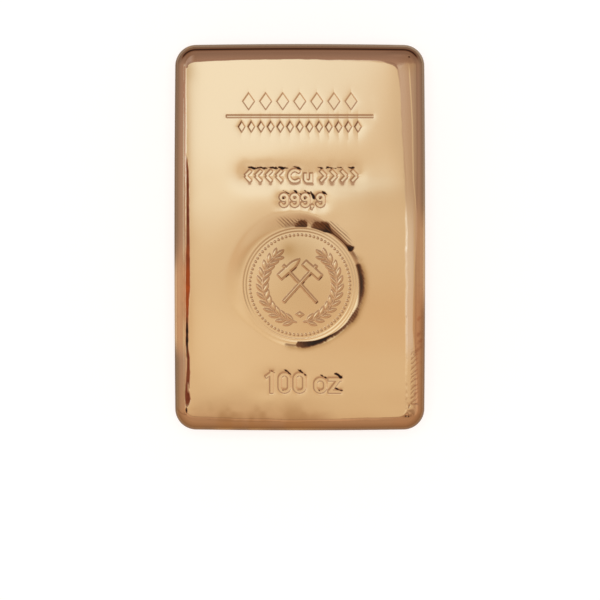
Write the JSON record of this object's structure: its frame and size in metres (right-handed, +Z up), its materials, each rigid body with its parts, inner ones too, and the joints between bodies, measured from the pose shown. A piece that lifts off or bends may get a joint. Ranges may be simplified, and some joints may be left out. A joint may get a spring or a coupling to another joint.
{
  "type": "copper ingot",
  "caption": "Flat rectangular cast copper bar with rounded shoulders and a pressed face that carries a round seal, a fineness and a weight mark.",
  "frame": {"origin": "middle of the base, on the surface that the ingot lies on", "axes": "+Z up out of the marked face, +Y along the ingot's length towards the top of its marks, +X to the right of the marks"},
  "size_m": [0.087, 0.134, 0.0318],
  "materials": {
    "polished_copper": "polished"
  },
  "bodies": {
    "root": {"ingot": "polished_copper"}
  },
  "joints": []
}
